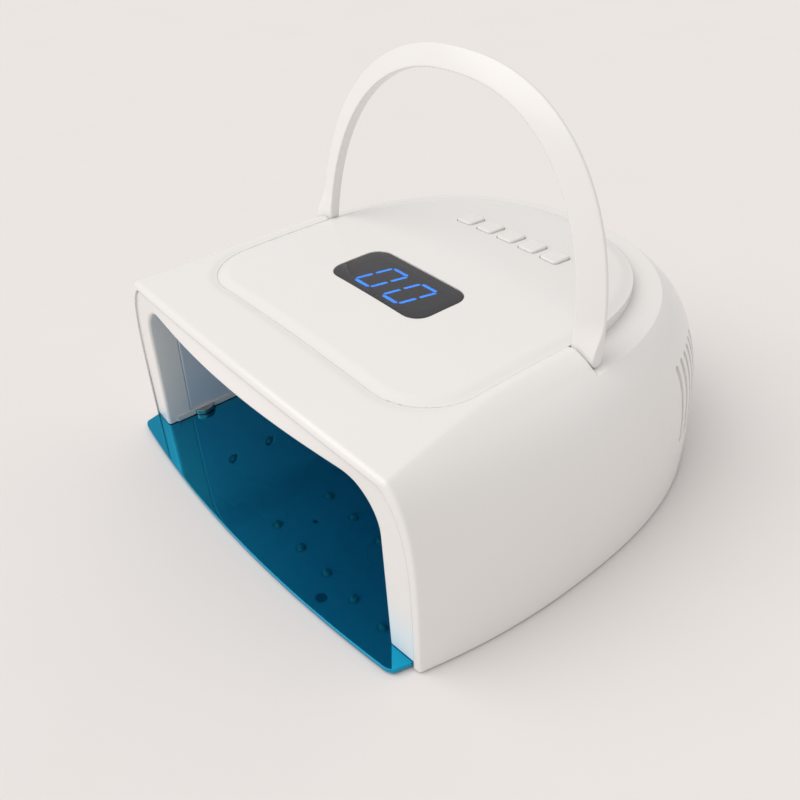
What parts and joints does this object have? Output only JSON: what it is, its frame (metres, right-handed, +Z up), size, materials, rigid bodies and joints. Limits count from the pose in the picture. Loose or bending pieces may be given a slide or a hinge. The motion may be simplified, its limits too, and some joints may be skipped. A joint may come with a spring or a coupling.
{
  "type": "uv led nail lamp",
  "caption": "Tabletop nail lamp with an open-front hand cavity, domed top with display and keys, folding arched handle and a slide-out mirror base plate.",
  "frame": {"origin": "middle of the lamp's bounding box, on the table under the rubber feet", "axes": "+Z up, hand opening and display face -Y (the user), +X to the user's right"},
  "size_m": [0.2346, 0.2416, 0.1853],
  "materials": {
    "white_shell": "glossy",
    "white_panel": "glossy",
    "white_frame": "glossy",
    "white_handle": "glossy",
    "white_key": "glossy",
    "base_plastic": "matt",
    "mirror_liner": "bright metallised plastic",
    "plate_mirror": "blue mirror-coated plate",
    "rubber": "matt",
    "steel": "bright",
    "magnet": "nickel plated",
    "bush_plastic": "smooth",
    "dark_window": "high gloss, smoked",
    "black_plastic": "matt",
    "blue_segments": "glowing blue",
    "circuit_board": "solder resist",
    "socket_plastic": "matt",
    "cell_wrap": "shrink wrap",
    "strap": "woven tape",
    "led_board": "white solder resist on aluminium",
    "lens": "clear dome",
    "sensor": "dark infrared window",
    "screw": "zinc plated"
  },
  "bodies": {
    "lamp_body": {"outer_shell": "white_shell", "top_panel": "white_panel", "front_frame": "white_frame", "base_frame": "base_plastic", "reflector_liner": "mirror_liner", "base_magnets": "magnet", "hinge_bush_left": "bush_plastic", "hinge_bush_right": "bush_plastic", "display_window": "dark_window", "display_module": "black_plastic", "digit_segments": "blue_segments", "control_board": "circuit_board", "key_switches": "black_plastic", "main_board": "circuit_board", "main_board_parts": "black_plastic", "charge_socket": "socket_plastic", "battery_cells": "cell_wrap", "battery_tray": "black_plastic", "battery_strap": "strap", "led_board_top": "led_board", "led_board_left": "led_board", "led_board_right": "led_board", "led_lenses": "lens", "hand_sensor": "sensor", "base_screws": "screw", "control_board_screws": "screw", "led_board_screws": "screw"},
    "handle": {"handle": "white_handle", "handle_pin_left": "steel", "handle_pin_right": "steel"},
    "base_plate": {"base_plate": "plate_mirror", "plate_feet": "rubber", "plate_keepers": "steel"},
    "key_10s": {"key_10s": "white_key"},
    "key_30s": {"key_30s": "white_key"},
    "key_60s": {"key_60s": "white_key"},
    "key_99s": {"key_99s": "white_key"},
    "key_power": {"key_power": "white_key"}
  },
  "joints": [
    {"name": "handle_fold", "type": "hinge", "parent": "lamp_body", "child": "handle", "pos_m": [0, 0.0013, 0.0873], "axis": [-1, 0, 0], "range_deg": [0, 83.4]},
    {"name": "plate_slide", "type": "slide", "parent": "lamp_body", "child": "base_plate", "axis": [0, -1, 0], "range_m": [0, 0.15]},
    {"name": "key_10s_press", "type": "slide", "parent": "lamp_body", "child": "key_10s", "axis": [0, 0, -1], "range_m": [0, 0.0006], "stiffness_N_per_m": 600, "springref_m": -0.0006},
    {"name": "key_30s_press", "type": "slide", "parent": "lamp_body", "child": "key_30s", "axis": [0, 0, -1], "range_m": [0, 0.0006], "stiffness_N_per_m": 600, "springref_m": -0.0006},
    {"name": "key_60s_press", "type": "slide", "parent": "lamp_body", "child": "key_60s", "axis": [0, 0, -1], "range_m": [0, 0.0006], "stiffness_N_per_m": 600, "springref_m": -0.0006},
    {"name": "key_99s_press", "type": "slide", "parent": "lamp_body", "child": "key_99s", "axis": [0, 0, -1], "range_m": [0, 0.0006], "stiffness_N_per_m": 600, "springref_m": -0.0006},
    {"name": "key_power_press", "type": "slide", "parent": "lamp_body", "child": "key_power", "axis": [0, 0, -1], "range_m": [0, 0.0006], "stiffness_N_per_m": 600, "springref_m": -0.0006}
  ]
}
